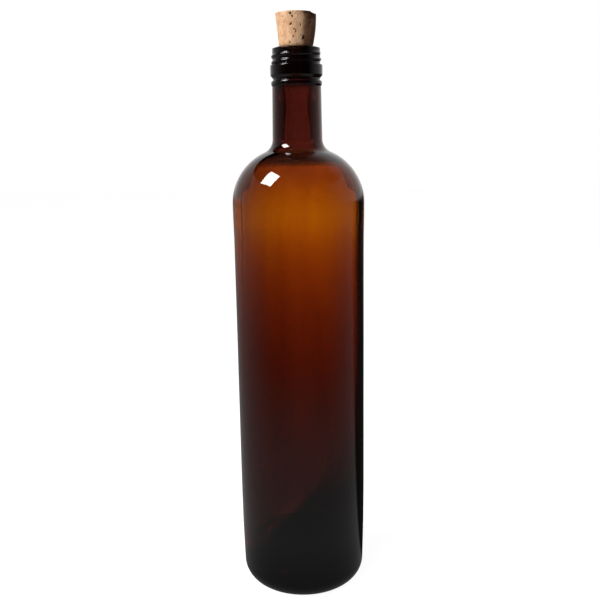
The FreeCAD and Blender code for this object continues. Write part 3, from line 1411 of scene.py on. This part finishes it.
@dataclass(frozen=True)
class Room:
    """The dark room with its pale back walls, which the gloss of the glass mirrors.

    Args:
        radius: Its radius.
        height: Its height.
        sides: Flat faces round it.
        left: The left side of its wall.
        right: The right side.
        wall_rise: Heights where the table's tone ends and where the wall's is full.
        ceiling_seam: The same from the wall to the ceiling, as shares of the room's height.
        ceiling_tone: Tone of the ceiling.
        ceiling_right: Tone of its rim behind, on the right.
        ceiling_turns: Directions where that starts and is full.
        ceiling_back: Directions where it is gone and is full, at the back.
        ceiling_rim: Where the rim starts and is full, as shares of the room's radius.
        table_here: Tone of the table by the bottle.
        table_away: Tone of the table far behind.
        table_front: Tone of the table far in front.
        table_turns: How far round the front tone reaches, and where the other is full.
        table_reach: Distances up to which the table is by the bottle, and where it is far.
        dark_tone: Tone of the dark thing behind on the right.
        dark_turns: Directions where it starts and ends.
        dark_edge: Half the width of its soft edges, in degrees.
        foot_tone: Share of the table's tone that is left at the bottle's foot.
        foot_reach: Distances where it starts to come back, and where it is full.
    """

    radius: float = 1.2
    height: float = 1.1
    sides: int = 96
    left: BackWall = BackWall(0.90, -45.0, -165.0, 1.6)
    right: BackWall = BackWall(1.00, 50.0, 165.0, 1.2)
    wall_rise: Span = (0.18, 0.30)
    ceiling_seam: Span = (0.95, 0.99)
    ceiling_tone: float = 0.03
    ceiling_right: float = 0.75
    ceiling_turns: Span = (80.0, 150.0)
    ceiling_back: Span = (180.0, 160.0)
    ceiling_rim: Span = (0.20, 0.85)
    table_here: float = 0.27
    table_away: float = 0.20
    table_front: float = 0.02
    table_turns: Span = (40.0, 110.0)
    table_reach: Span = (0.05, 0.60)
    dark_tone: float = 0.02
    dark_turns: Span = (107.0, 157.0)
    dark_edge: float = 4.0
    foot_tone: float = 0.60
    foot_reach: Span = (0.040, 0.11)

    def table(self, bench: NodeBench, turn: Socket, away: Socket) -> Socket:
        """Tone of the table: pale by the bottle, darker to the front, a dark thing on its right."""
        round_about = bench.math("ABSOLUTE", turn)
        far = bench.fade(round_about, *self.table_turns, self.table_front, self.table_away)
        tone = bench.blend(bench.fade(away, *self.table_reach), self.table_here, far)
        start, end = self.dark_turns
        after_start = bench.fade(turn, start - self.dark_edge, start + self.dark_edge)
        before_end = bench.fade(turn, end + self.dark_edge, end - self.dark_edge)
        tone = bench.blend(bench.times(after_start, before_end), tone, self.dark_tone)
        return bench.times(bench.fade(away, *self.foot_reach, self.foot_tone), tone)

    def ceiling(self, bench: NodeBench, turn: Socket, away: Socket) -> Socket:
        """Tone of the ceiling: dark, but pale at its rim behind and on the right."""
        side = bench.times(
            bench.fade(turn, *self.ceiling_turns), bench.fade(turn, *self.ceiling_back))
        rim = bench.fade(away, *(self.radius * share for share in self.ceiling_rim))
        return bench.blend(rim, self.ceiling_tone, bench.times(side, self.ceiling_right))

    def material(self) -> Material:
        """Table, wall and ceiling as one plain glow."""
        material, bench = new_material("surround")
        position = bench.add("ShaderNodeTexCoord").outputs["Object"]
        from_front = bench.add(
            "ShaderNodeMapping", in_Vector=position, in_Rotation=(0, 0, math.radians(90)))
        share = bench.add(
            "ShaderNodeTexGradient", gradient_type="RADIAL", in_Vector=from_front.outputs[0])
        turn = bench.times(bench.math("SUBTRACT", share.outputs["Fac"], 0.5), 360.0)
        height = bench.add("ShaderNodeSeparateXYZ", in_0=position).outputs["Z"]
        flat = bench.add(
            "ShaderNodeVectorMath", operation="MULTIPLY", in_0=position, in_1=(1.0, 1.0, 0.0))
        away = bench.add(
            "ShaderNodeVectorMath", operation="LENGTH", in_0=flat.outputs[0]).outputs["Value"]
        walls = bench.math("MAXIMUM", self.left.shade(bench, turn), self.right.shade(bench, turn))
        tone = bench.blend(
            bench.fade(height, *self.wall_rise), self.table(bench, turn, away), walls)
        above = bench.fade(height, *(self.height * share for share in self.ceiling_seam))
        tone = bench.blend(above, tone, self.ceiling(bench, turn, away))
        bench.cover(bench.shine(tone))
        return material

    def set_up(self) -> None:
        """Put up the room."""
        put_down()
        bpy.ops.mesh.primitive_cylinder_add(
            vertices=self.sides, radius=self.radius, depth=self.height,
            location=(0, 0, self.height / 2))
        room = bpy.context.active_object
        room.name = "surround"
        settle(room)
        room.data.materials.append(self.material())
        only_in_glass(room, seen_through=False)


@dataclass(frozen=True)
class Floor:
    """The pale floor, which keeps the bottle's shadow.

    Args:
        size: Its width and depth.
        gap: How far it lies under the bottle.
        glow: How pale it looks.
        grey: How much of the light that falls on it comes back.
    """

    size: float = 8.0
    gap: float = 0.3 * MM
    glow: float = 0.94
    grey: float = 0.35

    def set_up(self) -> None:
        """Lay the floor."""
        put_down()
        bpy.ops.mesh.primitive_plane_add(size=self.size, location=(0, 0, -self.gap))
        floor = bpy.context.active_object
        floor.name = "floor"
        settle(floor)
        material, bench = new_material("pale_floor")
        shine = bench.shine(bench.times(seen_rays(bench), self.glow))
        lit = bench.add("ShaderNodeBsdfDiffuse", in_Color=(self.grey, self.grey, self.grey, 1.0))
        both = bench.add("ShaderNodeAddShader", in_0=lit.outputs[0], in_1=shine)
        bench.cover(both.outputs[0])
        floor.data.materials.append(material)


@dataclass(frozen=True)
class World:
    """White to the eye and to the glass, and a soft grey to everything it lights.

    Args:
        ambient: Strength of its light on things.
    """

    ambient: float = 0.14

    def set_up(self) -> None:
        """Fill the world."""
        world = bpy.data.worlds.new("studio")
        world.use_nodes = True
        bpy.context.scene.world = world
        bench = NodeBench(world.node_tree)
        strength = bench.fade(seen_rays(bench), 0.0, 1.0, self.ambient)
        light = bench.add("ShaderNodeBackground", in_Color=WHITE, in_Strength=strength)
        bench.add("ShaderNodeOutputWorld", in_Surface=light.outputs[0])


@dataclass(frozen=True)
class Studio:
    """Everything round the bottle.

    Args:
        parts: What is set up, in order.
    """

    parts: tuple[Camera | World | Floor | Room | Card | Lamp, ...] = (
        Camera(),
        World(),
        Floor(),
        Room(),
        Card("card_body_right", 112.0, 155.0, 0.18, 0.0, 0.262, twist=-5.0),
        Card("card_body_left", -152.0, -149.0, 0.18, 0.12, 0.262, twist=-1.5),
        Card("card_neck_right", 70.0, 166.0, 0.50, 0.25, 0.75, 0.30),
        Card("card_neck_left", -166.0, -70.0, 0.50, 0.25, 0.75, 0.25),
        Lamp("window", -68.0, 46.0, 1.0, (0.38, 0.42), 12.5),
        Lamp("fill", -28.0, 20.0, 1.2, (0.6, 0.6), 5.0, in_gloss=False),
    )

    def build(self) -> None:
        """Set up the whole studio."""
        for part in self.parts:
            part.set_up()
        bpy.context.scene.view_settings.view_transform = "Standard"


def main() -> None:
    """Build the bottle, its cork and the studio round them."""
    bottle = GlassBottle()
    glass = bottle.build(AmberGlass(
        shoulder=bottle.mouth_height - bottle.upper_length,
        neck_foot=bottle.mouth_height - bottle.ring_drop,
        bead=bottle.mouth_height - bottle.bead.drop))
    log.info("%s: %d faces", glass.name, len(glass.data.polygons))
    cork = CorkStopper().build(NaturalCork(), bottle.mouth_height)
    log.info("%s: %d faces", cork.name, len(cork.data.polygons))
    Studio().build()
    log.info("studio: floor, window and camera set")


if __name__ == "__main__":
    main()
